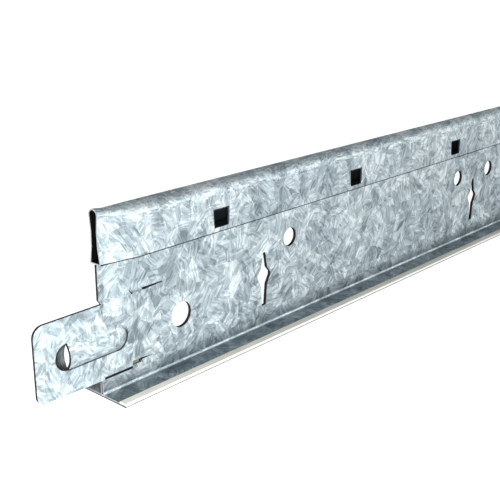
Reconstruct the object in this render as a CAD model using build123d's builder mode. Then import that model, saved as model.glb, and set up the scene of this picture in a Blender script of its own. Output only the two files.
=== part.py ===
from build123d import *
from math import cos, pi, sin, sqrt
import os

os.makedirs("parts", exist_ok=True)

# A narrow-face main tee for a lay-in ceiling grid, standing on its face.
# X runs along the tee, -Y is the side with the splice rib of the -X end, Z is up from the
# underside of the face. The origin is under the middle of the tee.
# All sizes are in millimetres.

# Stock
run_length = 3600.0          # between the two end faces, splice tabs not counted
total_height = 40.0
face_width = 15.0
strip = 0.3                  # galvanised strip that the body is folded from
cap_strip = 0.3              # pre-painted strip of the face

# Flanges and web
bend_inner = 0.5             # inside radius between web and flange
seam_half_gap = 0.14         # half the gap between the two layers, at the web's foot
seam_straight = 3.4          # the gap is even up to here
seam_top = 5.5               # and closed from here up
hem_width = 2.0              # capping folded over each flange edge

# Bulb
bulb_height = 11.0
bulb_foot_half = 3.1
bulb_crown_half = 2.9
crimp_length = 9.0           # the bulb's ends are pinched over this length
mouth_foot_half = 1.6
mouth_waist_half = 1.02
mouth_crown_half = 1.35
waist_share = 0.52           # height of the pinched waist, as a share of the bulb's
mouth_rise = 0.35            # the pinched mouth stands taller than the bulb behind it
mouth_drop = 0.1
neck_length = 2.4            # the crown is back at its height from here

# Punched pattern
slot_pitch = 100.0           # cross-tee slots, the first half a pitch from the end
slot_bottom = 5.7
slot_top = 19.2
slot_tip_half = 0.4          # half widths of the slot, from its tip down to its tail
slot_neck_half = 1.15
slot_belly_half = 2.35
slot_waist_half = 1.15
slot_tail_half = 0.7
slot_neck_height = 15.2
slot_belly_top = 13.8
slot_belly_bottom = 13.1
slot_waist_height = 10.9
pair_offset = 9.5            # round holes to each side of a slot
pair_height = 20.9
pair_diameter = 4.8
hanger_step = 6              # every sixth pair from an end takes a hanger
light_sides = 16             # the other round holes are drawn with this many sides
square_pitch = 50.0
square_first = 32.7          # first square hole, from the end face
square_width = 4.5
square_height = 4.0
square_rise = 3.1            # middle of a square hole, above the bulb's underside
end_hole_distance = 22.5
end_hole_height = 11.7
end_hole_diameter = 6.0

# Splice tab at each end
end_run = 28.0               # length of the end pieces that the plain run joins
tab_reach = 16.4             # beyond the end face
tab_bottom = 4.3
tab_top = 20.75
tab_taper = 0.3              # rise of the tab's lower edge to its free end
tab_shift = 0.9              # sideways set of the tab's plate
tab_top_radius = 2.4
tab_bottom_radius = 1.8
step_rise = 0.55             # height of the formed step above the plate
ramp_start = 8.0             # the plate runs back into the web from here
ramp_end = 16.5
slit_start = 11.2
slit_end = 17.1
slit_gap = 0.3
nick_width = 0.3
notch_start = 7.4
notch_end = 10.4
notch_tall = 1.95            # height of the notch at its start and at its end
notch_low = 1.45
foot_edge = 0.15             # sheared edge of the web's foot, above the tab's lower edge
low_slit_end = 14.8          # beyond the notch the slit narrows to nothing
low_slit_rise = 0.7          # its height above the tab's lower edge
crack_length = 1.15          # crack in the foot, at the end of the notch
crack_width = 0.35
crack_lean = 0.6

# Rib and scoop pressed in the tab, either side of one sheared edge
rib_cut = -8.9               # the sheared edge, from the end face
rib_end = 6.2
rib_height = 5.76
rib_rise = 1.15
scoop_depth = 1.0

# Values that follow from the sizes above
web_half = strip
flange_half = face_width / 2 - cap_strip - strip / 2
flange_top = cap_strip + strip
hem_top = flange_top + cap_strip
bend_outer = bend_inner + strip
bend_height = flange_top + bend_inner
bulb_base = total_height - bulb_height
bulb_crown_height = total_height - bulb_crown_half
neck_share = neck_length / crimp_length
notch_top = tab_bottom + notch_tall
notch_end_top = tab_bottom + notch_low
low_slit_height = tab_bottom + low_slit_rise
foot_top = tab_bottom + foot_edge
square_centre_height = bulb_base + square_rise
tab_plate = 2 * strip
tab_middle = (tab_bottom + tab_top) / 2
slot_count = round(run_length / slot_pitch)
square_count = int((run_length - square_first - end_run) // square_pitch) + 1
cut_depth = 2 * strip
bend_middle = 225            # degrees, halfway round the bend of the +Y flange


def on_circle(centre, radius, degrees):
    """Point on a circle, by angle."""
    angle = degrees * pi / 180
    return (centre[0] + radius * cos(angle), centre[1] + radius * sin(angle))


def web_outline(top):
    """Half section of flange and double web up to a height, mirrored about the seam."""
    spread = seam_half_gap + strip
    bend = (spread + bend_inner, bend_height)
    with BuildLine() as outline:
        Polyline(
            (0, top),
            (web_half, top),
            (web_half, seam_top),
            (spread, seam_straight),
            (spread, bend_height),
        )
        ThreePointArc((spread, bend_height), on_circle(bend, bend_inner, bend_middle), (bend[0], flange_top))
        Polyline(
            (bend[0], flange_top),
            (flange_half, flange_top),
            (flange_half, cap_strip),
            (bend[0], cap_strip),
        )
        ThreePointArc((bend[0], cap_strip), on_circle(bend, bend_outer, bend_middle), (seam_half_gap, bend_height))
        Polyline((seam_half_gap, bend_height), (seam_half_gap, seam_straight), (0, seam_top))
        mirror(about=Plane.YZ)
    return outline.line


def bulb_outline(wall):
    """Outline of the bulb in the plain run, or of its hollow when a wall is taken off."""
    foot = bulb_foot_half - wall
    crown = bulb_crown_half - wall
    base = bulb_base + wall
    with BuildLine() as outline:
        Line((-foot, base), (foot, base))
        Line((foot, base), (crown, bulb_crown_height))
        ThreePointArc((crown, bulb_crown_height), (0, total_height - wall), (-crown, bulb_crown_height))
        Line((-crown, bulb_crown_height), (-foot, base))
    return outline.line


def crimp_outline(wall, share, rise, drop):
    """Outline of the pinched bulb, or of its hollow when a wall is taken off.

    The share says how far the pinch has opened again, from 0 at the mouth to 1 at the full bulb.
    """
    foot = mouth_foot_half + share * (bulb_foot_half - mouth_foot_half) - wall
    waist = mouth_waist_half + share * (bulb_foot_half - mouth_waist_half) - wall
    crown = mouth_crown_half + share * (bulb_crown_half - mouth_crown_half)
    base = bulb_base - drop + wall
    top = total_height + rise
    waist_height = bulb_base + waist_share * bulb_height
    with BuildLine() as outline:
        Line((-foot, base), (foot, base))
        Spline((foot, base), (waist, waist_height), (crown - wall, top - crown))
        ThreePointArc((crown - wall, top - crown), (0, top - wall), (wall - crown, top - crown))
        Spline((wall - crown, top - crown), (-waist, waist_height), (-foot, base))
    return outline.line


# Rib pressed out of the tab's plate toward the near side, with a round closed end.
rib_half = rib_height / 2
rib_radius = (rib_half**2 + rib_rise**2) / (2 * rib_rise)
plate_near = -tab_shift - strip
plate_far = -tab_shift + strip
rib_axis = plate_near - rib_rise + rib_radius
rib_hollow = rib_radius - tab_plate
rib_round = rib_end - rib_half

# Scoop pressed the other way, beyond the sheared edge.
scoop_radius = (rib_half**2 + scoop_depth**2) / (2 * scoop_depth)
scoop_axis = plate_near + scoop_depth - scoop_radius

# The rib's outer skin, a bar of round section with a ball end, cut flat inside the plate.
with BuildPart() as rib_skin:
    with BuildSketch(Plane.YZ.offset(rib_cut)):
        with Locations((rib_axis, tab_middle)):
            Circle(rib_radius)
    extrude(amount=rib_round - rib_cut)
    with Locations((rib_round, rib_axis, tab_middle)):
        Sphere(rib_radius)
    split(bisect_by=Plane.XZ.offset(tab_shift), keep=Keep.TOP)
    split(bisect_by=Plane.YZ.offset(rib_cut), keep=Keep.TOP)

with BuildPart() as rib_void:
    with BuildSketch(Plane.YZ.offset(rib_cut)):
        with Locations((rib_axis, tab_middle)):
            Circle(rib_hollow)
    extrude(amount=rib_round - rib_cut)
    with Locations((rib_round, rib_axis, tab_middle)):
        Sphere(rib_hollow)
    split(bisect_by=Plane.YZ.offset(rib_cut), keep=Keep.TOP)

with BuildPart() as scoop_skin:
    with Locations((rib_cut, scoop_axis, tab_middle)):
        Sphere(scoop_radius + tab_plate)
    split(bisect_by=Plane.XZ.offset(tab_shift), keep=Keep.BOTTOM)
    split(bisect_by=Plane.YZ.offset(rib_cut), keep=Keep.BOTTOM)

with BuildPart() as scoop_void:
    with Locations((rib_cut, scoop_axis, tab_middle)):
        Sphere(scoop_radius)
    split(bisect_by=Plane.YZ.offset(rib_cut), keep=Keep.BOTTOM)

# Plate of the tab: straight in plan, then ramped back into the web, and trimmed to its outline.
with BuildPart() as tab_blank:
    with BuildSketch(Plane.XY):
        with BuildLine():
            Polyline(
                (-tab_reach, plate_near),
                (ramp_start, plate_near),
                (ramp_end, -web_half),
                (ramp_end, web_half),
                (ramp_start, plate_far),
                (-tab_reach, plate_far),
                close=True,
            )
        make_face()
    extrude(amount=total_height)
    with BuildSketch(Plane.XZ):
        with BuildLine():
            Polyline(
                (-tab_reach, tab_top),
                (-tab_reach, tab_bottom + tab_taper),
                (0, tab_bottom),
                (notch_start, tab_bottom),
                (notch_start, notch_top),
                (notch_end, notch_end_top),
                (low_slit_end, low_slit_height),
                (ramp_end, low_slit_height),
                (ramp_end, tab_top),
                close=True,
            )
        make_face()
        tab_corners = vertices().group_by(Axis.X)[0].sort_by(Axis.Y)
        fillet(tab_corners[0], radius=tab_bottom_radius)
        tab_corners = vertices().group_by(Axis.X)[0].sort_by(Axis.Y)
        fillet(tab_corners[-1], radius=tab_top_radius)
    extrude(amount=face_width, both=True, mode=Mode.INTERSECT)

# One end of the tee, with its end face at X = 0 and its tab towards -X.
with BuildPart() as end_piece:
    with BuildSketch(Plane.YZ):
        make_face(web_outline(bulb_base))
    extrude(amount=end_run)

    # Window that the tab's plate was set out of
    with BuildSketch(Plane.XZ):
        with BuildLine():
            Polyline(
                (0, foot_top),
                (notch_end, foot_top),
                (notch_end, low_slit_height),
                (ramp_end, low_slit_height),
                (ramp_end, tab_top + slit_gap),
                (slit_start, tab_top + slit_gap),
                (slit_start, tab_top + step_rise),
                (0, tab_top + step_rise),
                close=True,
            )
        make_face()
    extrude(amount=cut_depth, both=True, mode=Mode.SUBTRACT)

    add(tab_blank.part)

    # Formed step between the plate's top and the web above it
    slit_shift = tab_shift * (ramp_end - slit_start) / (ramp_end - ramp_start)
    for start, end, start_shift, end_shift in (
        (0, ramp_start, tab_shift, tab_shift),
        (ramp_start, slit_start, tab_shift, slit_shift),
    ):
        for place, shift in ((start, start_shift), (end, end_shift)):
            with BuildSketch(Plane.YZ.offset(place)):
                with BuildLine():
                    Polyline(
                        (-shift - strip, tab_top),
                        (-shift + strip, tab_top),
                        (web_half, tab_top + step_rise),
                        (-web_half, tab_top + step_rise),
                        close=True,
                    )
                make_face()
        loft()

    # Shear slit and nick at the tab's top, crack in the foot, and the single round hole
    with BuildSketch(Plane.XZ):
        with Locations((slit_start, tab_top)):
            Rectangle(slit_end - slit_start, slit_gap, align=Align.MIN)
        with BuildLine():
            Polyline(
                (notch_end, low_slit_height),
                (notch_end + crack_width, low_slit_height),
                (notch_end + crack_lean, low_slit_height - crack_length),
                close=True,
            )
        make_face()
        with Locations((ramp_start, tab_top)):
            Rectangle(nick_width, step_rise, align=(Align.CENTER, Align.MIN))
        with Locations((end_hole_distance, end_hole_height)):
            Circle(end_hole_diameter / 2)
    extrude(amount=tab_shift + tab_plate, both=True, mode=Mode.SUBTRACT)

    # Rib and scoop
    add(rib_skin.part)
    add(rib_void.part, mode=Mode.SUBTRACT)
    add(scoop_skin.part)
    add(scoop_void.part, mode=Mode.SUBTRACT)

    # Bulb: pinched at the mouth, its crown level from the neck, full from the end of the crimp
    for wall, mode in ((0, Mode.ADD), (strip, Mode.SUBTRACT)):
        with BuildSketch(Plane.YZ):
            make_face(crimp_outline(wall, 0, mouth_rise, mouth_drop))
        with BuildSketch(Plane.YZ.offset(neck_length)):
            make_face(crimp_outline(wall, neck_share, 0, 0))
        loft(mode=mode)
        with BuildSketch(Plane.YZ.offset(neck_length)):
            make_face(crimp_outline(wall, neck_share, 0, 0))
        with BuildSketch(Plane.YZ.offset(crimp_length)):
            make_face(bulb_outline(wall))
        loft(mode=mode)
    with BuildSketch(Plane.YZ.offset(crimp_length)):
        make_face(bulb_outline(0))
        make_face(bulb_outline(strip), mode=Mode.SUBTRACT)
    extrude(amount=end_run - crimp_length)

# Cross-tee slot, a leaf with its widest part above the middle.
with BuildSketch() as slot_outline:
    with BuildLine():
        Polyline(
            (0, slot_top),
            (slot_tip_half, slot_top),
            (slot_neck_half, slot_neck_height),
            (slot_belly_half, slot_belly_top),
            (slot_belly_half, slot_belly_bottom),
            (slot_waist_half, slot_waist_height),
            (slot_tail_half, slot_bottom),
            (0, slot_bottom),
        )
        mirror(about=Plane.YZ)
    make_face()

# Places of the round holes beside the slots. The pairs that take a hanger, and the single holes
# at the ends, are true circles.
slot_places = [(number + 0.5) * slot_pitch - run_length / 2 for number in range(slot_count)]
hanger_pairs = range(1, slot_count // 2, hanger_step)
hanger_pairs = [*hanger_pairs, *(slot_count - 1 - number for number in hanger_pairs)]
true_holes = [slot_places[0] + pair_offset, slot_places[-1] - pair_offset]
light_holes = []
for number in range(1, slot_count - 1):
    holes = true_holes if number in hanger_pairs else light_holes
    holes += [slot_places[number] - pair_offset, slot_places[number] + pair_offset]

# The whole body: the plain run, its punched pattern, and an end piece at each end.
with BuildPart() as tee_body:
    plain_run = run_length - 2 * end_run
    with BuildSketch(Plane.YZ.offset(-plain_run / 2)):
        make_face(web_outline(bulb_base))
        make_face(bulb_outline(0))
        make_face(bulb_outline(strip), mode=Mode.SUBTRACT)
    extrude(amount=plain_run)

    # Cross-tee slots, and a round hole on each side of them, none outside the first and last slot
    with BuildSketch(Plane.XZ):
        with GridLocations(slot_pitch, 1, slot_count, 1):
            add(slot_outline.sketch)
        with Locations(*[(place, pair_height) for place in true_holes]):
            Circle(pair_diameter / 2)
        with Locations(*[(place, pair_height) for place in light_holes]):
            RegularPolygon(pair_diameter / 2, light_sides)
    extrude(amount=cut_depth, both=True, mode=Mode.SUBTRACT)

    # Square holes through the bulb
    with BuildSketch(Plane.XZ):
        with Locations(
            *[
                (square_first + number * square_pitch - run_length / 2, square_centre_height)
                for number in range(square_count)
            ]
        ):
            Rectangle(square_width, square_height)
    extrude(amount=2 * bulb_foot_half, both=True, mode=Mode.SUBTRACT)

    add(end_piece.part.moved(Location((-run_length / 2, 0, 0))))
    add(end_piece.part.moved(Location((run_length / 2, 0, 0), (0, 0, 180))))

tee_body.part.label = "tee_body"
export_step(tee_body.part, "parts/tee_body.step")

# Face capping: a painted strip wrapped round both flange edges and hemmed over them.
fold_outer = hem_top / 2
fold_inner = strip / 2
fold_centre = (face_width / 2 - fold_outer, fold_outer)
hem_edge = face_width / 2 - hem_width

with BuildPart() as face_capping:
    with BuildSketch(Plane.YZ.offset(-run_length / 2)):
        with BuildLine():
            Line((0, 0), (fold_centre[0], 0))
            ThreePointArc((fold_centre[0], 0), (face_width / 2, fold_outer), (fold_centre[0], hem_top))
            Polyline(
                (fold_centre[0], hem_top),
                (hem_edge, hem_top),
                (hem_edge, flange_top),
                (fold_centre[0], flange_top),
            )
            ThreePointArc(
                (fold_centre[0], flange_top),
                (fold_centre[0] + fold_inner, fold_outer),
                (fold_centre[0], cap_strip),
            )
            Line((fold_centre[0], cap_strip), (0, cap_strip))
            mirror(about=Plane.YZ)
        make_face()
    extrude(amount=run_length)

face_capping.part.label = "face_capping"
export_step(face_capping.part, "parts/face_capping.step")
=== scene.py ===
# %% [markdown]
# A main tee for a lay-in ceiling grid, as a lesson in dressing a CAD part.
# The tee is a long strip of spangled galvanised steel, folded into two flanges, a double web and
# a hollow bulb, with a painted strip wrapped round its face. The solids already have the right
# shape and size, so this lesson gives them what steel has and a solid lacks: a finish, dark
# sheared edges, round hole rims and soft studio light.
# Everything is in metres, X runs along the tee, -Y is the side that we look at and Z is up.

# %% Load the solids
import math

import bmesh
import bpy
from mathutils import Matrix, Vector


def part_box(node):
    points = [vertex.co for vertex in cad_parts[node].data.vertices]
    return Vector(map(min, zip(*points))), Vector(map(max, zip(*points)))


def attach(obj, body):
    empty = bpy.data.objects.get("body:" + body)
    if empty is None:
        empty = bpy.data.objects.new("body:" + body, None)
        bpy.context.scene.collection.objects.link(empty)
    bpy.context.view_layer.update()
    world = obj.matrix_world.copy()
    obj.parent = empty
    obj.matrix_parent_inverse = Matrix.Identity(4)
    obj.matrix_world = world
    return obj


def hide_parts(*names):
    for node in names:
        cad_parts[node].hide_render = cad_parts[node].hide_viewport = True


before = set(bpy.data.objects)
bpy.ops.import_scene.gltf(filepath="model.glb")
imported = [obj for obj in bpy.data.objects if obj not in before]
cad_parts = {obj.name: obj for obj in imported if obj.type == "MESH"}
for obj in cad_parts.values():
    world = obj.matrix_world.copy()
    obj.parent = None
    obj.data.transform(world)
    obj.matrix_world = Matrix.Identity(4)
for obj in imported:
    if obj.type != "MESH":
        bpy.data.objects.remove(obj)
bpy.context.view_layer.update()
MM = 0.001

# %% [markdown]
# The dressing needs to know where things are. The big sizes are measured on the solids: the face
# capping starts at the floor and the body on top of it, so the body's lowest point is one sheet
# thickness up. The bulb's mouth was pinched, which pushed it up a little above the bulb behind it.
# Heights and places of the cuts are written down here once, with a name for each. The two ends of
# the tee are alike, so a place along it is given as the distance inwards from the end face. On
# the tab, which stands out past that face, it is negative.

# %% Sizes
body_low, body_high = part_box("tee_body")
_, cap_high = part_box("face_capping")
sheet = body_low.z
end_face = cap_high.x
mouth_rise = 0.35 * MM
tee_top = body_high.z - mouth_rise
bulb_height = 11 * MM
bulb_foot = tee_top - bulb_height
bulb_middle = tee_top - bulb_height / 2
bend_top = 2 * sheet + 0.5 * MM
seam_top = 5.5 * MM
tab_bottom = 4.3 * MM
tab_top = 20.75 * MM
rib_cut = -8.9 * MM
rib_round = 3.32 * MM
rib_middle = 12.525 * MM
rib_half = 2.88 * MM
print("sheet", round(sheet / MM, 2), "mm")
print("bulb from", round(bulb_foot / MM, 1), "to", round(tee_top / MM, 1), "mm")

# %% [markdown]
# The picture was taken from just beyond one end, a little above the tee. A camera is a place and
# a direction, and its lens says how wide it sees. The lens, the place and the two direction vectors
# here were found by matching known corners of the tee to where they show in the picture, so they
# are kept as they are. A camera looks along its own -Z, which is why the third column of its turn
# is the backward direction.

# %% Camera
lens_pixels = 908.2
picture_pixels = 500
camera_place = Vector((-1.90463, -0.13548, 0.08773))
camera_right = Vector((0.670644, -0.741778, 0.000966))
camera_up = Vector((0.232374, 0.211327, 0.949391))
camera_back = camera_right.cross(camera_up)

camera_data = bpy.data.cameras.new("picture_camera")
camera_data.sensor_width = 36
camera_data.lens = lens_pixels / picture_pixels * camera_data.sensor_width
camera_data.clip_start = 0.005
camera = bpy.data.objects.new("picture_camera", camera_data)
bpy.context.scene.collection.objects.link(camera)
turn = Matrix((camera_right, camera_up, camera_back)).transposed()
camera.matrix_world = Matrix.Translation(camera_place) @ turn.to_4x4()
bpy.context.scene.camera = camera
print("lens", round(camera_data.lens, 1), "mm")

# %% [markdown]
# A material is a small graph of nodes. Writing every node out takes many lines, so a few helpers
# keep the lesson short. The first two add a node and fill its inputs: a value that is itself a
# socket is joined, and any other value is typed in. The others are built on them.

# %% Helpers for node trees
def fill_input(tree, socket, value):
    """Joins a socket to another one, or types a value into it."""
    if isinstance(value, bpy.types.NodeSocket):
        tree.links.new(value, socket)
    else:
        socket.default_value = value


def add_node(tree, kind, settings=None, **inputs):
    """Adds a node, sets its properties, and fills or joins its inputs by name or number."""
    node = tree.nodes.new(kind)
    for name, value in (settings or {}).items():
        setattr(node, name, value)
    for name, value in inputs.items():
        key = int(name[1:]) if name[0] == "i" and name[1:].isdigit() else name.replace("_", " ")
        fill_input(tree, node.inputs[key], value)
    return node


def math_node(tree, operation, *values):
    """A Math node on up to three values or sockets."""
    inputs = {f"i{number}": value for number, value in enumerate(values)}
    return add_node(tree, "ShaderNodeMath", {"operation": operation}, **inputs).outputs[0]


def vector_node(tree, operation, *values):
    """A Vector Math node. Scale takes its number last."""
    node = add_node(tree, "ShaderNodeVectorMath", {"operation": operation})
    keys = [0, "Scale"] if operation == "SCALE" else range(len(values))
    for key, value in zip(keys, values):
        fill_input(tree, node.inputs[key], value)
    return node.outputs["Value"] if operation == "DOT_PRODUCT" else node.outputs[0]


def colour_ramp(tree, factor, stops):
    """A Color Ramp whose stops are (position, colour)."""
    ramp = add_node(tree, "ShaderNodeValToRGB", i0=factor)
    elements = ramp.color_ramp.elements
    while len(elements) < len(stops):
        elements.new(0.5)
    for element, (place, colour) in zip(elements, stops):
        element.position = place
        element.color = (*colour, 1)
    return ramp.outputs["Color"]


def graded(tree, value, start, end, at_start, at_end):
    """A straight change from one value at the start to another at the end, held beyond both."""
    ends = {"From_Min": start, "From_Max": end, "To_Min": at_start, "To_Max": at_end}
    return add_node(tree, "ShaderNodeMapRange", Value=value, **ends).outputs["Result"]


print("helpers for node trees ready")

# %% [markdown]
# Every finish of the tee is one Principled shader whose colour follows the place on the object.
# Object coordinates are used for that: they keep their scale on 3.6 metres of steel and have no
# seams. They are in metres, and the patterns of the zinc turn them into millimetres first.

# %% Helpers for materials
def new_material(name):
    """An empty material and its node tree."""
    material = bpy.data.materials.new(name)
    material.use_nodes = True
    material.node_tree.nodes.clear()
    return material, material.node_tree


def principled(tree, **inputs):
    """Ends a material in a Principled shader."""
    shader = add_node(tree, "ShaderNodeBsdfPrincipled", **inputs)
    add_node(tree, "ShaderNodeOutputMaterial", Surface=shader.outputs[0])


def object_place(tree):
    """The place on the object, in metres."""
    return add_node(tree, "ShaderNodeTexCoord").outputs["Object"]


def place_in_mm(tree):
    """The place on the object in millimetres, whole and as its three parts."""
    place = vector_node(tree, "SCALE", object_place(tree), 1 / MM)
    return place, add_node(tree, "ShaderNodeSeparateXYZ", Vector=place).outputs


def noise(tree, place, scale, detail, roughness=0.5):
    """A Noise texture's node."""
    settings = {"Scale": scale, "Detail": detail, "Roughness": roughness}
    return add_node(tree, "ShaderNodeTexNoise", Vector=place, **settings)


def inwards_mm(tree, parts, from_place):
    """How far inwards a point is from a place near the end, in millimetres, at either end."""
    return math_node(
        tree, "SUBTRACT", (end_face - from_place) / MM, math_node(tree, "ABSOLUTE", parts["X"])
    )


def long_side(tree, one, other):
    """The long side of a right-angled triangle, from its two short ones."""
    square = math_node(tree, "MULTIPLY", other, other)
    return math_node(tree, "SQRT", math_node(tree, "MULTIPLY_ADD", one, one, square))


print("helpers for materials ready")

# %% [markdown]
# Spangle is the crystal pattern of a hot-dip zinc coat: flat grains a few millimetres wide, each
# a bunch of fine blades that lie in the grain's own direction and catch the light differently. A
# photo of it could be wrapped round the tee, but it would repeat or stretch on so long a piece, so
# textures make it. A Voronoi texture cuts space into grains and gives each a random colour.
# That colour is used as a direction: the coordinates are squeezed across it and stretched along
# it, so a second Voronoi, which would give round cells, gives long sharp blades that turn at
# every grain. The direction is first laid into the surface, so the blades are long on the web,
# the bulb and the flanges alike.

# %% Blades of zinc
grey_point = (0.5, 0.5, 0.5)


def zinc_blades(tree, place, normal, grain_size, blade_length, blade_width, warp):
    """A random colour for every blade and for every grain. Sizes are in millimetres."""
    wobble = noise(tree, place, 1.6 / grain_size, 3.0)
    centred = vector_node(tree, "SUBTRACT", wobble.outputs["Color"], grey_point)
    warped = vector_node(tree, "ADD", place, vector_node(tree, "SCALE", centred, warp))
    grains = add_node(tree, "ShaderNodeTexVoronoi", Vector=warped, Scale=1 / grain_size)
    grain_colour = grains.outputs["Color"]
    loose = vector_node(tree, "SUBTRACT", grain_colour, grey_point)
    height = vector_node(tree, "DOT_PRODUCT", loose, normal)
    flat = vector_node(tree, "SUBTRACT", loose, vector_node(tree, "SCALE", normal, height))
    blade_way = vector_node(tree, "NORMALIZE", flat)
    distance = vector_node(tree, "DOT_PRODUCT", warped, blade_way)
    squeezed = vector_node(tree, "SCALE", warped, 1 / blade_width)
    drop = math_node(tree, "MULTIPLY", distance, 1 / blade_width - 1 / blade_length)
    stretched = vector_node(tree, "SUBTRACT", squeezed, vector_node(tree, "SCALE", blade_way, drop))
    blades = add_node(tree, "ShaderNodeTexVoronoi", Vector=stretched, Scale=1.0)
    return blades.outputs["Color"], grain_colour


def tone_of(tree, colour):
    """One channel of a random colour, as an even spread from 0 to 1."""
    return add_node(tree, "ShaderNodeSeparateColor", Color=colour).outputs[2]


def weighed_sum(tree, *pairs):
    """The sum of (value, weight) pairs."""
    total = 0.0
    for value, weight in pairs:
        total = math_node(tree, "MULTIPLY_ADD", value, weight, total)
    return total


print("blades ready")

# %% [markdown]
# Two sizes of blades lie over each other, as small crystals fill the gaps between large ones.
# Their random tones add up, with a cloudy haze, to the brightness of the zinc. A ramp over the
# height gives painted shade to the flange and the web's foot, in the corner between them, and a
# painted highlight to the bend. The ramp is given in centimetres.

# %% Colour of the zinc
zinc, tree = new_material("galvanised_spangle")
place_mm, parts_mm = place_in_mm(tree)
geometry = add_node(tree, "ShaderNodeNewGeometry").outputs
large_blades, large_grains = zinc_blades(
    tree, place_mm, geometry["True Normal"], grain_size=5.4, blade_length=4.2, blade_width=1.25, warp=1.2
)
small_blades, small_grains = zinc_blades(
    tree, place_mm, geometry["True Normal"], grain_size=3.6, blade_length=3.0, blade_width=0.42, warp=0.9
)
haze = noise(tree, place_mm, 0.24, 4.0, 0.6)

spangle = weighed_sum(
    tree,
    (tone_of(tree, large_blades), 0.19),
    (tone_of(tree, small_blades), 0.26),
    (tone_of(tree, large_grains), 0.16),
    (tone_of(tree, small_grains), 0.12),
    (haze.outputs["Fac"], 0.27),
)
zinc_colour = colour_ramp(
    tree,
    spangle,
    [
        (0.25, (0.20, 0.245, 0.27)),
        (0.43, (0.39, 0.47, 0.51)),
        (0.57, (0.57, 0.67, 0.715)),
        (0.73, (0.90, 0.98, 1.0)),
    ],
)
height_cm = math_node(tree, "MULTIPLY", parts_mm["Z"], 0.1)
# Painted shade in the corner between web and flange, and a painted highlight on the bend.
corner_shade_and_bend_highlight = colour_ramp(
    tree,
    height_cm,
    [
        (0.062, (0.38, 0.39, 0.40)),
        (0.070, (1.1, 1.1, 1.1)),
        (0.105, (1.1, 1.1, 1.1)),
        (0.125, (0.46, 0.47, 0.48)),
        (0.25, (0.66, 0.67, 0.68)),
        (0.42, (1, 1, 1)),
    ],
)
zinc_colour = vector_node(tree, "MULTIPLY", zinc_colour, corner_shade_and_bend_highlight)
print(zinc.name, "has", len(tree.nodes), "nodes for its colour")

# %% [markdown]
# A thin dark line of painted shadow runs low round the rib in the tab, where its lower side turns
# from the light. It is not cut into the mesh: the material paints it, a line at a set distance
# from the rib's axis, which runs from the rib's cut end to the middle of its round end. The line is
# widest round that end, and it fades out above the rib's middle.

# %% Painted shadow round the rib
rib_shadow_radius = rib_half / MM - 0.08
rib_shadow_widening = 0.16
rib_shadow_colour = 0.08

past_round = math_node(tree, "MAXIMUM", inwards_mm(tree, parts_mm, rib_round), 0.0)
above_middle = math_node(tree, "SUBTRACT", parts_mm["Z"], rib_middle / MM)
from_axis = long_side(tree, past_round, above_middle)
off_rib_shadow = math_node(tree, "ABSOLUTE", math_node(tree, "SUBTRACT", from_axis, rib_shadow_radius))
round_end = math_node(tree, "MINIMUM", past_round, 1.0)
off_rib_shadow = math_node(tree, "MULTIPLY_ADD", round_end, -rib_shadow_widening, off_rib_shadow)
# Painted shadow: the zinc is darkened along this line, low round the rib.
beside_rib_shadow = graded(tree, off_rib_shadow, 0.14, 0.32, rib_shadow_colour, 1.0)
upper_half = graded(tree, above_middle, 0.2, 2.2, 0.0, 1.0)
beyond_cut = math_node(tree, "LESS_THAN", inwards_mm(tree, parts_mm, rib_cut), 0.0)
elsewhere = math_node(tree, "MAXIMUM", upper_half, beyond_cut)
unshadowed = math_node(tree, "MAXIMUM", beside_rib_shadow, elsewhere)
zinc_colour = vector_node(tree, "SCALE", zinc_colour, unshadowed)
print("crease", round(rib_shadow_radius, 2), "mm from the rib's axis")

# %% [markdown]
# Each blade also leans a little its own way, so the surface normal is tipped by the blade's random
# colour. The pattern then glitters when the view or the light moves, which a painted pattern
# wouldn't. Bright crystals are a little smoother than dark ones.

# %% Shine of the zinc
blade_lean = 0.16
centred = vector_node(tree, "SUBTRACT", large_blades, grey_point)
lean = vector_node(tree, "SCALE", centred, blade_lean)
tipped = vector_node(tree, "NORMALIZE", vector_node(tree, "ADD", geometry["Normal"], lean))
zinc_bump = add_node(
    tree, "ShaderNodeBump", Height=spangle, Strength=0.2, Distance=0.05 * MM, Normal=tipped
)
principled(
    tree,
    Base_Color=zinc_colour,
    Metallic=0.65,
    Roughness=graded(tree, spangle, 0.25, 0.75, 0.48, 0.34),
    Normal=zinc_bump.outputs["Normal"],
)
print(zinc.name, "has", len(tree.nodes), "nodes")

# %% [markdown]
# Where the press and the shear went through the strip there is no zinc, only the torn steel of
# the cut. Through the double web it is dark and dull. Through a single sheet the soft zinc smears
# over the cut and leaves it pale, and on the painted strip the cut is bare grey metal. All have
# fine scores in the direction of the cut, which crosses the sheet along Y. The hollow of the bulb
# and the seam between the two layers get hardly any light, so their shade is painted into dark
# finishes of their own, with the darkest painted shade in the bulb's mouth.

# %% Cut edges, and painted shade in the hollows
def cut_steel(name, colour, metallic, roughness, gloss=0.5):
    """Steel with fine scores across the sheet."""
    material, tree = new_material(name)
    scored = vector_node(tree, "MULTIPLY", object_place(tree), (9000, 900, 9000))
    scores = noise(tree, scored, 1.0, 2.0).outputs["Fac"]
    darker = tuple(part * 0.6 for part in colour)
    bump = add_node(tree, "ShaderNodeBump", Height=scores, Strength=0.3, Distance=0.03 * MM)
    principled(
        tree,
        Base_Color=colour_ramp(tree, scores, [(0.35, darker), (0.65, colour)]),
        Metallic=metallic,
        Roughness=roughness,
        Specular_IOR_Level=gloss,
        Normal=bump.outputs["Normal"],
    )
    return material


sheared = cut_steel("sheared_edge", (0.016, 0.014, 0.014), 0.0, 0.7, 0.15)
smeared = cut_steel("smeared_edge", (0.50, 0.53, 0.55), 0.7, 0.5)
bare = cut_steel("bare_cut", (0.10, 0.105, 0.11), 0.5, 0.5)
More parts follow.
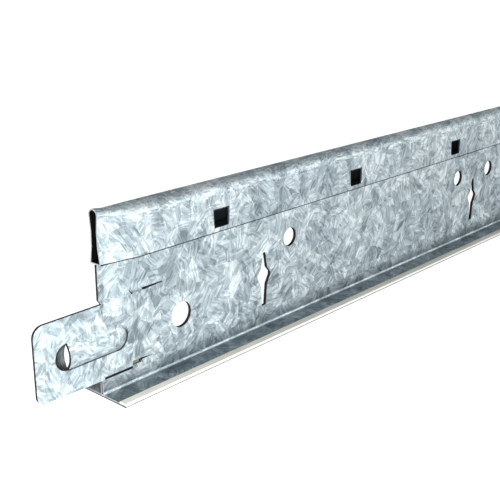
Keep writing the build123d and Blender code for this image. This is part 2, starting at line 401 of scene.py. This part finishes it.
# Painted shade: near-black finishes for the hollow and the seam, and darker still for the mouth.
hollow_shade = cut_steel("dark_hollow", (0.030, 0.038, 0.045), 0.0, 0.9, 0.25)
mouth_shade = cut_steel("dark_mouth", (0.004, 0.004, 0.004), 0.0, 0.9, 0.05)
print(", ".join(steel.name for steel in (sheared, smeared, bare, hollow_shade, mouth_shade)))

# %% [markdown]
# Beyond the rib's cut end the tab is pressed into a scoop, and its zinc gets painted shade: a dark
# grey, streaked from the lower rim to the upper one, that gets darker still from the middle of the
# rib's cut end to the scoop's rim.

# %% Painted shade of the scoop
def shaded_scoop_steel(name, darkest, lightest):
    """Zinc streaked upright, with painted shade that darkens it along the rim of the scoop."""
    material, tree = new_material(name)
    place_mm, parts_mm = place_in_mm(tree)
    above_middle = math_node(tree, "SUBTRACT", parts_mm["Z"], rib_middle / MM)
    off_middle = long_side(tree, inwards_mm(tree, parts_mm, rib_cut), above_middle)
    streaked = vector_node(tree, "MULTIPLY", place_mm, (2.2, 2.2, 0.7))
    streaks = noise(tree, streaked, 1.0, 4.0).outputs["Fac"]
    shades = colour_ramp(tree, streaks, [(0.32, darkest), (0.68, lightest)])
    bump = add_node(tree, "ShaderNodeBump", Height=streaks, Strength=0.4, Distance=0.08 * MM)
    # Painted shade: darker from the middle of the rib's cut end out to the scoop's rim.
    principled(
        tree,
        Base_Color=vector_node(tree, "SCALE", shades, graded(tree, off_middle, 1.5, 2.6, 1.0, 0.15)),
        Metallic=0.5,
        Roughness=0.45,
        Normal=bump.outputs["Normal"],
    )
    return material


scoop_shade = shaded_scoop_steel("drawn_zinc", (0.03, 0.035, 0.04), (0.26, 0.29, 0.305))
print(scoop_shade.name)

# %% [markdown]
# The face capping is coil-coated strip: a thin, even coat of paint with a soft gloss and a very
# fine orange peel. The face and its rounded edge are white. The top of the rim that is folded over
# the flange gets less light, so it takes painted shade: a duller, warmer copy of the paint.

# %% Painted strip
def strip_paint(name, darker, lighter, gloss):
    """A coat of paint between two shades."""
    material, tree = new_material(name)
    place = object_place(tree)
    peel = noise(tree, place, 2500.0, 2.0).outputs["Fac"]
    clouds = noise(tree, place, 120.0, 3.0).outputs["Fac"]
    bump = add_node(tree, "ShaderNodeBump", Height=peel, Strength=0.15, Distance=0.03 * MM)
    principled(
        tree,
        Base_Color=colour_ramp(tree, clouds, [(0.3, darker), (0.7, lighter)]),
        Roughness=0.38,
        Coat_Weight=gloss,
        Normal=bump.outputs["Normal"],
    )
    return material


paint = strip_paint("painted_capping", (0.93, 0.925, 0.90), (0.97, 0.965, 0.94), 0.2)
# Painted shade: a duller, warmer copy of the white paint for the rims' tops.
rim_top_shade = strip_paint("folded_rim", (0.52, 0.51, 0.44), (0.61, 0.60, 0.52), 0.0)
print(paint.name, "and", rim_top_shade.name)

# %% [markdown]
# The body is the CAD solid itself. Its mesh comes as loose triangles, and a CAD node's mesh is
# never changed, so the finish goes on a merged copy that stands for the node. The two ends of the
# tee are alike, one turned half round, so places are read from the nearer end: along is the
# distance inwards from the end face, and side is negative on the side to which the tab was set.
# How a face looks is read from its normal. Where one part of it is over square_on, the face looks
# along that axis, and over flat_on it does so almost exactly. Where that part is under edge_on, the
# face stands nearly edge on to the axis.

# %% Helpers for the body
same_place = 0.0001 * MM
flat_on = 0.98
square_on = 0.9
edge_on = 0.35


def merged_copy(node):
    """A copy of a CAD node with its loose triangles joined, as a bmesh."""
    shell = bmesh.new()
    shell.from_mesh(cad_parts[node].data)
    bmesh.ops.remove_doubles(shell, verts=shell.verts, dist=same_place)
    return shell


def from_nearer_end(place, vector):
    """A place and a direction as seen from the nearer end."""
    turn = -1 if place.x > 0 else 1
    return (
        Vector((end_face - abs(place.x), turn * place.y, place.z)),
        Vector((turn * vector.x, turn * vector.y, vector.z)),
    )


def cut_across(shell, chosen, point, direction):
    """Cuts the faces for which chosen is true along a plane."""
    faces = [face for face in shell.faces if chosen(face)]
    edges = {edge for face in faces for edge in face.edges}
    verts = {vert for face in faces for vert in face.verts}
    parts = [*faces, *edges, *verts]
    bmesh.ops.bisect_plane(shell, geom=parts, plane_co=point, plane_no=direction, dist=same_place)


print("helpers for the body ready")

# %% [markdown]
# Two thin dark lines are painted shade, not edges of the solid: one at the sharp fold along the
# bulb's foot, and one along the sheared lower edge of the tab, which was set out past the foot of
# the web. They are cut into the copy first, so that each is a row of faces of its own.

# %% Painted shade lines at the bulb's fold and the tab's lower edge
bulb_foot_shade_band = 0.2 * MM
tab_foot_shade_band = 0.56 * MM
plate_near, plate_far = -4 * sheet, -2 * sheet
beside_web = -1.5 * sheet
notch_start = 7.4 * MM


def on_tab_foot(face):
    """True for the flat faces of the tab's plate near its lower edge."""
    (along, side, height), look = from_nearer_end(face.calc_center_median(), face.normal)
    in_foot = height < tab_top and along < notch_start
    return in_foot and side < beside_web and abs(look.y) > flat_on


shell = merged_copy("tee_body")
cut_across(shell, lambda face: True, (0, 0, bulb_foot + bulb_foot_shade_band), (0, 0, 1))
cut_across(shell, on_tab_foot, (0, 0, tab_bottom + tab_foot_shade_band), (0, 0, 1))
for end in (-end_face, end_face):
    cut_across(shell, on_tab_foot, (end, 0, 0), (1, 0, 0))
bmesh.ops.triangulate(shell, faces=shell.faces)
print("the body has", len(shell.faces), "triangles")

# %% [markdown]
# Each face gets its finish by where it is and which way it looks. A face that looks back to the
# middle plane is in the seam or in the hollow and takes painted shade, and near the end, in the
# bulb's mouth, the darkest painted shade. A face that doesn't look out of the sheet is cut: dark on
# the double web, pale on a single sheet. The faces just beyond the rib's cut end that don't lie flat
# in either side of the tab's plate are the scoop, with its own painted shade. The thin strips of
# painted shade along the bulb's foot and the tab's lower edge take the dark cut finish. The rest is
# zinc.

# %% Which finish a face takes
ZINC, SHEARED, SMEARED, HOLLOW_SHADE, SCOOP_SHADE, MOUTH_SHADE = 0, 1, 2, 3, 4, 5
body_finishes = [zinc, sheared, smeared, hollow_shade, scoop_shade, mouth_shade]
mouth_depth = 14 * MM
scoop_reach = 3.4 * MM
in_web = 0.8 * sheet
pale_cut_top = tab_bottom + 0.2 * MM
just_off = 0.1 * sheet


def on_scoop(along, side, height, look):
    """True for the faces just beyond the rib's cut end, off both sides of the tab's plate."""
    from_cut = math.hypot(along - rib_cut, height - rib_middle)
    off_plate = min(abs(side - plate_near), abs(side - plate_far))
    on_plate = abs(look.y) > flat_on and off_plate < just_off
    return along < rib_cut and from_cut < scoop_reach and not on_plate


def finish_on_bulb(along, side, height, look):
    """The number of the finish that a face of the bulb takes."""
    if abs(look.x) > square_on and abs(along) < sheet:
        return SMEARED
    # Painted shade: the lowest strip of the bulb's side takes the dark cut finish.
    if height < bulb_foot + bulb_foot_shade_band and abs(look.y) > 0.5:
        return SHEARED
    if look.y * side + look.z * (height - bulb_middle) > 0:
        return ZINC
    return MOUTH_SHADE if along < mouth_depth else HOLLOW_SHADE


def finish_of(face):
    """The number of the finish that a face of the body takes."""
    (along, side, height), look = from_nearer_end(face.calc_center_median(), face.normal)
    if height > bulb_foot + just_off:
        return finish_on_bulb(along, side, height, look)
    in_seam = height < seam_top and abs(side) < in_web
    if side * look.y < 0 and (height < bend_top or in_seam):
        return HOLLOW_SHADE
    across_sheet = abs(look.x) > square_on or (look.z > square_on and height > tab_bottom)
    if across_sheet and height < pale_cut_top:
        return SMEARED
    if bend_top < height < bulb_foot - just_off and abs(look.y) < edge_on:
        return SHEARED
    if on_scoop(along, side, height, look):
        return SCOOP_SHADE
    # Painted shade: the lowest strip of the tab's plate takes the dark cut finish.
    if 0 < along < notch_start and side < beside_web and height < tab_bottom + tab_foot_shade_band:
        return SHEARED
    return ZINC


counts = [0] * len(body_finishes)
for face in shell.faces:
    face.material_index = finish_of(face)
    counts[face.material_index] += 1
print("faces of zinc, dark cut, pale cut, hollow, drawn zinc and mouth:", counts)

# %% [markdown]
# Where the formed step above the tab's plate ends, a slit goes on inwards for 6 mm. The picture
# shows it dark, while light would come through an open one. What fills it can't be made out. A thin
# strip as dark as the other cuts stands in for it here, set back from both faces of the web.

# %% Dark strips in the two slits
slit_start, slit_end = 11.2 * MM, 17.1 * MM
slit_low, slit_high = tab_top - 0.15 * MM, tab_top + 0.3 * MM
strip_size = Matrix.Diagonal((slit_end - slit_start, sheet, slit_high - slit_low, 1))
for end in (-1, 1):
    middle = Vector((end * (end_face - (slit_start + slit_end) / 2), 0, (slit_low + slit_high) / 2))
    place = Matrix.Translation(middle) @ strip_size
    strip = bmesh.ops.create_cube(shell, size=1.0, matrix=place)
    for vert in strip["verts"]:
        for face in vert.link_faces:
            face.material_index = SHEARED
print("strips in the slits:", round((slit_end - slit_start) / MM, 1), "mm long")

# %% [markdown]
# Shading is smooth over gentle bends and crisp over cuts. The step above the tab's plate is only
# half a millimetre high and its folds are soft, so it is smoothed too, although it is steep.

# %% Helper for shading
def on_step(face):
    """True for the formed step above the tab's plate."""
    height = face.calc_center_median().z
    return tab_top < height < tab_top + 2 * sheet and edge_on < abs(face.normal.y) < square_on


def smooth_folds(shell, degrees):
    """Smooth shading over gentle bends, with every sharper edge kept crisp."""
    for face in shell.faces:
        face.smooth = True
    for edge in shell.edges:
        if len(edge.link_faces) != 2:
            edge.smooth = False
            continue
        one, other = edge.link_faces
        gentle = edge.calc_face_angle(0) < math.radians(degrees)
        stepped = one.material_index == other.material_index and (on_step(one) or on_step(other))
        edge.smooth = gentle or stepped


smooth_folds(shell, 30)
print(sum(not edge.smooth for edge in shell.edges), "of", len(shell.edges), "edges are crisp")

# %% [markdown]
# The finished mesh becomes a piece of the tee. It rides on the one body that there is, and it
# stands for the CAD node, which then isn't shown.
# Weighted normals let its large flat faces rule over the narrow ones beside them, so the web stays
# flat right up to its bends.

# %% The folded body
def shown_piece(shell, name, materials, slot_name, *nodes):
    """Makes a bmesh a piece that rides on the body and stands for some CAD nodes."""
    mesh = bpy.data.meshes.new(name)
    shell.to_mesh(mesh)
    shell.free()
    for material in materials:
        mesh.materials.append(material)
    piece = bpy.data.objects.new(name, mesh)
    bpy.context.scene.collection.objects.link(piece)
    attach(piece, "root")
    if nodes:
        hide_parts(*nodes)
    return piece


body = shown_piece(shell, "folded_body", body_finishes, "galvanised_strip", "tee_body")
weighing = body.modifiers.new("weighted_normals", "WEIGHTED_NORMAL")
weighing.keep_sharp = True
print(body.name, "has", len(body.data.polygons), "faces")

# %% [markdown]
# The holes repeat along the whole tee, so Geometry Nodes make their rims. A punch leaves a dark
# torn wall, and drags it a little through the sheet as a burr on the far side. The tree takes an
# outline, turns it into a curve, sweeps a small rectangle along it, and puts one such rim on every
# point of the mesh that it is used on. The same tree serves the round holes, the cross-tee slots
# and the square holes, only with another outline and other sizes. Each modifier input is set by
# its identifier.

# %% The tree for punched rims
rim_tree = bpy.data.node_groups.new("punched_rims", "GeometryNodeTree")
sockets = {}
for name, kind in (
    ("Places", "NodeSocketGeometry"),
    ("Outline", "NodeSocketObject"),
    ("Lip Width", "NodeSocketFloat"),
    ("Depth", "NodeSocketFloat"),
    ("Wall Finish", "NodeSocketMaterial"),
    ("Lip Finish", "NodeSocketMaterial"),
):
    sockets[name] = rim_tree.interface.new_socket(name, in_out="INPUT", socket_type=kind).identifier
rim_tree.interface.new_socket("Rims", in_out="OUTPUT", socket_type="NodeSocketGeometry")

given = rim_tree.nodes.new("NodeGroupInput").outputs
outline = add_node(rim_tree, "GeometryNodeObjectInfo", Object=given["Outline"]).outputs["Geometry"]
path = add_node(rim_tree, "GeometryNodeMeshToCurve", Mesh=outline).outputs["Curve"]
section = add_node(
    rim_tree, "GeometryNodeCurvePrimitiveQuadrilateral", Width=given["Lip Width"], Height=given["Depth"]
)
rim = add_node(rim_tree, "GeometryNodeCurveToMesh", Curve=path, Profile_Curve=section.outputs[0])
upright = add_node(
    rim_tree, "GeometryNodeTransform", Geometry=rim.outputs["Mesh"], Rotation=(math.radians(90), 0, 0)
)
placed = add_node(
    rim_tree, "GeometryNodeInstanceOnPoints", Points=given["Places"], Instance=upright.outputs["Geometry"]
)
real = add_node(rim_tree, "GeometryNodeRealizeInstances", Geometry=placed.outputs["Instances"])
looks = add_node(rim_tree, "GeometryNodeInputNormal").outputs["Normal"]
across = add_node(rim_tree, "ShaderNodeSeparateXYZ", Vector=looks).outputs["Y"]
is_lip = math_node(rim_tree, "GREATER_THAN", math_node(rim_tree, "ABSOLUTE", across), 0.5)
walls = add_node(
    rim_tree, "GeometryNodeSetMaterial", Geometry=real.outputs["Geometry"], Material=given["Wall Finish"]
)
finished = add_node(
    rim_tree,
    "GeometryNodeSetMaterial",
    Geometry=walls.outputs["Geometry"],
    Selection=is_lip,
    Material=given["Lip Finish"],
)
add_node(rim_tree, "NodeGroupOutput", Rims=finished.outputs["Geometry"])
print(rim_tree.name, "takes", ", ".join(sockets))

# %% [markdown]
# A punch is known by its outline. The round ones are circles and the square one has four corners.
# The cross-tee slot is tall and narrow with a wider waist, so its right side is written down from
# the top to the bottom, and the left side mirrors it. All are in millimetres.

# %% Outlines of the punches
def closed_outline(name, points):
    """A closed line through points, flat in its own XY plane, its size in millimetres."""
    places = [(x * MM, y * MM, 0) for x, y in points]
    steps = [(number, (number + 1) % len(places)) for number in range(len(places))]
    mesh = bpy.data.meshes.new(name)
    mesh.from_pydata(places, steps, [])
    outline = bpy.data.objects.new(name, mesh)
    bpy.context.scene.collection.objects.link(outline)
    return outline


def round_outline(name, diameter, sides=48):
    """A circle as a closed line, its size in millimetres."""
    turns = [2 * math.pi * number / sides for number in range(sides)]
    return closed_outline(name, [(diameter / 2 * math.cos(a), diameter / 2 * math.sin(a)) for a in turns])


half_width, half_height = 2.38, 2.13
four_corners = ((-1, -1), (1, -1), (1, 1), (-1, 1))
square_points = [(x * half_width, y * half_height) for x, y in four_corners]
slot_right = [(0.44, 19.24), (1.2, 15.2), (2.4, 13.83), (2.4, 13.07), (1.2, 10.9), (0.74, 5.66)]
slot_points = [*slot_right, *((-x, y) for x, y in reversed(slot_right))]
print("the slot is", round(slot_right[0][1] - slot_right[-1][1], 2), "mm tall")

# %% [markdown]
# The punches repeat at a steady pitch: a slot every 100 mm, from half a pitch inside each end face,
# a round hole to each side of it, and a square hole in the bulb every 50 mm. No round hole stands
# outside the first and the last slot. One more hole is at each end.

# %% Places of the holes
slot_pitch = 100 * MM
square_pitch = 50 * MM
first_square = 32.7 * MM
beside_slot = 9.5 * MM
slot_places = [
    (number + 0.5) * slot_pitch - end_face for number in range(round(2 * end_face / slot_pitch))
]
pair_places = [x + step for x in slot_places for step in (-beside_slot, beside_slot)][1:-1]
square_places = [
    first_square + number * square_pitch - end_face
    for number in range(round(2 * end_face / square_pitch) - 1)
]
end_hole_places = [end * (end_face - 22.5 * MM) for end in (-1, 1)]
print(len(pair_places), "round holes,", len(slot_places), "slots,", len(square_places), "square holes")

# %% [markdown]
# On the web the rim goes through both layers of sheet: a hair proud of the side that the punch came
# from, and as a burr on the far side. On the bulb it goes through one sheet, on both sides of the
# tee, and its lip is wider and has the hollow's near-black painted shade.

# %% Rims made by the tree
burr = 0.24 * MM
proud = 0.01 * MM
lip = 0.08 * MM
web_depth = 2 * sheet + proud + burr
web_side = (burr - proud) / 2
square_depth = sheet + 0.08 * MM
square_side = 2.87 * MM
round_height = 20.9 * MM
end_hole_height = 11.7 * MM
square_height = bulb_foot + 3.1 * MM


def punched_rims(name, points, outline, lip_width, depth, wall_finish, lip_finish):
    """Uses the tree on a mesh of points and returns the result as a plain mesh."""
    seeds = bpy.data.meshes.new(name)
    seeds.from_pydata(points, [], [])
    holder = bpy.data.objects.new(name, seeds)
    bpy.context.scene.collection.objects.link(holder)
    modifier = holder.modifiers.new(name, "NODES")
    modifier.node_group = rim_tree
    modifier[sockets["Outline"]] = outline
    modifier[sockets["Lip Width"]] = lip_width
    modifier[sockets["Depth"]] = depth
    modifier[sockets["Wall Finish"]] = wall_finish
    modifier[sockets["Lip Finish"]] = lip_finish
    evaluated = holder.evaluated_get(bpy.context.evaluated_depsgraph_get())
    mesh = bpy.data.meshes.new_from_object(evaluated)
    holder.modifiers.clear()
    bpy.data.objects.remove(holder)
    bpy.data.objects.remove(outline)
    print(name, "has", len(mesh.polygons), "faces")
    return mesh


rim_meshes = [
    punched_rims(
        "round_rims",
        [(x, web_side, round_height) for x in pair_places],
        round_outline("round_outline", 4.8),
        lip, web_depth, sheared, zinc,
    ),
    punched_rims(
        "end_hole_rims",
        [(x, web_side, end_hole_height) for x in end_hole_places],
        round_outline("end_hole_outline", 6.0),
        lip, web_depth, sheared, zinc,
    ),
    punched_rims(
        "slot_rims",
        [(x, web_side, 0) for x in slot_places],
        closed_outline("slot_outline", slot_points),
        lip, web_depth, sheared, zinc,
    ),
    punched_rims(
        "square_rims",
        [(x, side, square_height) for x in square_places for side in (-square_side, square_side)],
        closed_outline("square_outline", square_points),
        3 * lip, square_depth, hollow_shade, hollow_shade,
    ),
]

# %% [markdown]
# The four sets of rims belong to one body of steel, so they are joined into one mesh. Their faces
# are turned outwards, since a swept section can come out either way round.

# %% One mesh of rims
def joined(meshes, materials):
    """All meshes in one bmesh, their faces numbered by the list of materials."""
    shell = bmesh.new()
    for mesh in meshes:
        start = len(shell.faces)
        shell.from_mesh(mesh)
        shell.faces.ensure_lookup_table()
        for face in shell.faces[start:]:
            face.material_index = materials.index(mesh.materials[face.material_index])
        bpy.data.meshes.remove(mesh)
    bmesh.ops.recalc_face_normals(shell, faces=shell.faces)
    return shell


rim_finishes = [zinc, sheared, hollow_shade]
shell = joined(rim_meshes, rim_finishes)
smooth_folds(shell, 20)
rims = shown_piece(shell, "punched_rims", rim_finishes, "galvanised_strip")
print(rims.name, "has", len(rims.data.polygons), "faces")

# %% [markdown]
# The face capping is the CAD solid too. Its two cut ends are bare metal, except where the folded
# rims end, which are white. The tops of the rims take painted shade, the duller copy of the paint,
# the lower corner of the rounded edge takes a thin line of painted shadow, and the rest is white.
# The borders between these finishes are cut into the copy first, so that each line is crisp.

# %% The face capping
PAINT, BARE, RIM_TOP_SHADE, FLOOR_SHADOW_LINE = 0, 1, 2, 3
capping_finishes = [paint, bare, rim_top_shade, sheared]
rim_width = 2.0 * MM
rim_start = cap_high.y - rim_width
rim_middle = 1.5 * sheet
shadow_line_top = 0.4 * MM


def within_rim(face):
    """True in the outer strip along either edge, as wide as the folded rim."""
    return abs(face.calc_center_median().y) > rim_start


def at_cut_end(face):
    """True for the capping's two cut ends."""
    return abs(face.normal.x) > square_on


def capping_finish(face):
    """The number of the finish that a face of the capping takes."""
    place, look = face.calc_center_median(), face.normal
    if at_cut_end(face):
        return PAINT if within_rim(face) and place.z > rim_middle else BARE
    # Painted shade: the tops of the rims take the duller copy of the paint.
    if within_rim(face) and look.z > square_on:
        return RIM_TOP_SHADE
    # Painted shadow: a thin dark line along the lower corner of the rounded edge.
    if within_rim(face) and place.z < shadow_line_top and look.z > -flat_on and look.y * place.y > 0:
        return FLOOR_SHADOW_LINE
    return PAINT


shell = merged_copy("face_capping")
cut_across(shell, within_rim, (0, 0, shadow_line_top), (0, 0, 1))
for side in (-rim_start, rim_start):
    cut_across(shell, at_cut_end, (0, side, 0), (0, 1, 0))
cut_across(shell, at_cut_end, (0, 0, rim_middle), (0, 0, 1))
for face in shell.faces:
    face.material_index = capping_finish(face)
smooth_folds(shell, 40)
capping = shown_piece(shell, "wrapped_face", capping_finishes, "painted_capping", "face_capping")
print(capping.name, "has", len(capping.data.polygons), "faces")

# %% [markdown]
# The tee rests on a plain white floor that runs to the horizon. To the camera most of the floor's
# white is its own, which is how a studio sweep looks when it is lit evenly, and metal mirrors a
# weaker share of that white. The rest is plain paper that catches the light, so the tee keeps a
# faint shadow. Close beside the tee the mirrored floor is darker, as in every real corner, and an
# ambient occlusion node gives that.

# %% Floor
floor_half = 12.0
floor_glow = 0.8
mirrored_share = 0.45
corner_reach = 22 * MM
corner_falloff = 1.3


def rays_seen(tree):
    """Two sockets: 1 for a ray from the camera, and 1 for a ray that came off metal or glass."""
    rays = add_node(tree, "ShaderNodeLightPath").outputs
    mirrored = math_node(tree, "MAXIMUM", rays["Is Glossy Ray"], rays["Is Transmission Ray"])
    return rays["Is Camera Ray"], mirrored


floor_material, tree = new_material("white_floor")
from_camera, mirrored = rays_seen(tree)
corner = add_node(tree, "ShaderNodeAmbientOcclusion", {"samples": 8}, Distance=corner_reach)
openness = math_node(tree, "POWER", corner.outputs["AO"], corner_falloff)
mirrored_white = math_node(tree, "MULTIPLY", mirrored, mirrored_share)
mirrored_glow = math_node(tree, "MULTIPLY", mirrored_white, openness)
sees_white = math_node(tree, "MAXIMUM", from_camera, mirrored_glow)
paper = add_node(tree, "ShaderNodeBsdfDiffuse", Color=(0.55, 0.55, 0.55, 1))
glow_strength = math_node(tree, "MULTIPLY", sees_white, floor_glow)
glow = add_node(tree, "ShaderNodeEmission", Color=(1, 1, 1, 1), Strength=glow_strength)
both = add_node(tree, "ShaderNodeAddShader", i0=paper.outputs[0], i1=glow.outputs[0])
add_node(tree, "ShaderNodeOutputMaterial", Surface=both.outputs[0])

floor_mesh = bpy.data.meshes.new("floor")
floor_corners = [(x * floor_half, y * floor_half, 0) for x, y in four_corners]
floor_mesh.from_pydata(floor_corners, [], [(0, 1, 2, 3)])
floor_mesh.materials.append(floor_material)
floor = bpy.data.objects.new("floor", floor_mesh)
bpy.context.scene.collection.objects.link(floor)
print("floor", 2 * floor_half, "m wide")

# %% [markdown]
# Metal shows what stands round it, so the studio itself is the light. Matching the picture's
# tones to the directions that each part of the steel mirrors gives a simple studio: a bright band
# that stands low and goes round the front and the left, dim at the back and dark overhead. One
# ramp over the angle to the bright side gives the way round, and one over the height gives the
# band. The white background is seen by the camera, and by mirroring metal where it is: low down,
# just over the floor.

# %% World
bright_side = Vector((-0.45, -0.85, 0.27)).normalized()
world = bpy.data.worlds.new("studio")
bpy.context.scene.world = world
world.use_nodes = True
tree = world.node_tree
tree.nodes.clear()
direction = add_node(tree, "ShaderNodeTexCoord").outputs["Generated"]
facing = vector_node(tree, "DOT_PRODUCT", direction, bright_side)
around = colour_ramp(
    tree,
    graded(tree, facing, -1.0, 1.0, 0.0, 1.0),
    [
        (0.05, (0.22, 0.225, 0.23)),
        (0.35, (0.38, 0.39, 0.40)),
        (0.50, (0.76, 0.77, 0.78)),
        (0.62, (1.47, 1.48, 1.49)),
        (0.70, (1.70, 1.70, 1.70)),
    ],
)
height = add_node(tree, "ShaderNodeSeparateXYZ", Vector=direction).outputs["Z"]
band = colour_ramp(
    tree,
    height,
    [
        (0.0, (1, 1, 1)),
        (0.42, (1, 1, 1)),
        (0.60, (0.42, 0.42, 0.42)),
        (0.80, (0.06, 0.06, 0.06)),
    ],
)
sky = vector_node(tree, "MULTIPLY", around, band)
from_camera, mirrored = rays_seen(tree)
low_down = graded(tree, height, 0.12, 0.0, 0.0, mirrored_share)
sees_white = math_node(tree, "MAXIMUM", from_camera, math_node(tree, "MULTIPLY", mirrored, low_down))
studio = add_node(tree, "ShaderNodeBackground", Color=sky, Strength=1.0)
backdrop = add_node(tree, "ShaderNodeBackground", Color=(1, 1, 1, 1), Strength=1.0)
mixed = add_node(tree, "ShaderNodeMixShader", i0=sees_white, i1=studio.outputs[0], i2=backdrop.outputs[0])
add_node(tree, "ShaderNodeOutputWorld", Surface=mixed.outputs[0])
print(world.name, "has", len(tree.nodes), "nodes")

# %% [markdown]
# Two soft lamps beyond the near end make it the brightest, and their light falls off along the
# tee. A weak, wide fill from behind keeps the paint on the back from going grey. It isn't mirrored.

# %% Lamps
def lamp_object(data, place, look):
    """Puts a lamp into the scene, looking along a vector."""
    lamp = bpy.data.objects.new(data.name, data)
    lamp.location = place
    lamp.rotation_euler = Vector(look).to_track_quat("-Z", "Y").to_euler()
    bpy.context.scene.collection.objects.link(lamp)
    return lamp


def soft_lamp(name, size, watts, place, target):
    """A square lamp that looks at a place."""
    data = bpy.data.lights.new(name, "AREA")
    data.size = size
    data.energy = watts
    lamp_object(data, place, Vector(target) - Vector(place))
    print(name, watts, "W")


soft_lamp("side_lamp", 0.10, 0.36, (-1.93, -0.14, 0.05), (-1.80, 0, 0.015))
soft_lamp("tab_lamp", 0.03, 0.10, (-1.88, -0.045, 0.04), (-1.808, 0, 0.012))

fill_data = bpy.data.lights.new("back_fill", "SUN")
fill_data.angle = math.radians(60)
fill_data.energy = 1.2
fill = lamp_object(fill_data, (0, 0, 0), (-0.3, -0.8, -0.45))
fill.visible_glossy = False
bpy.context.scene.view_settings.view_transform = "Standard"
print("back fill", round(fill_data.energy, 2), "W per square metre")
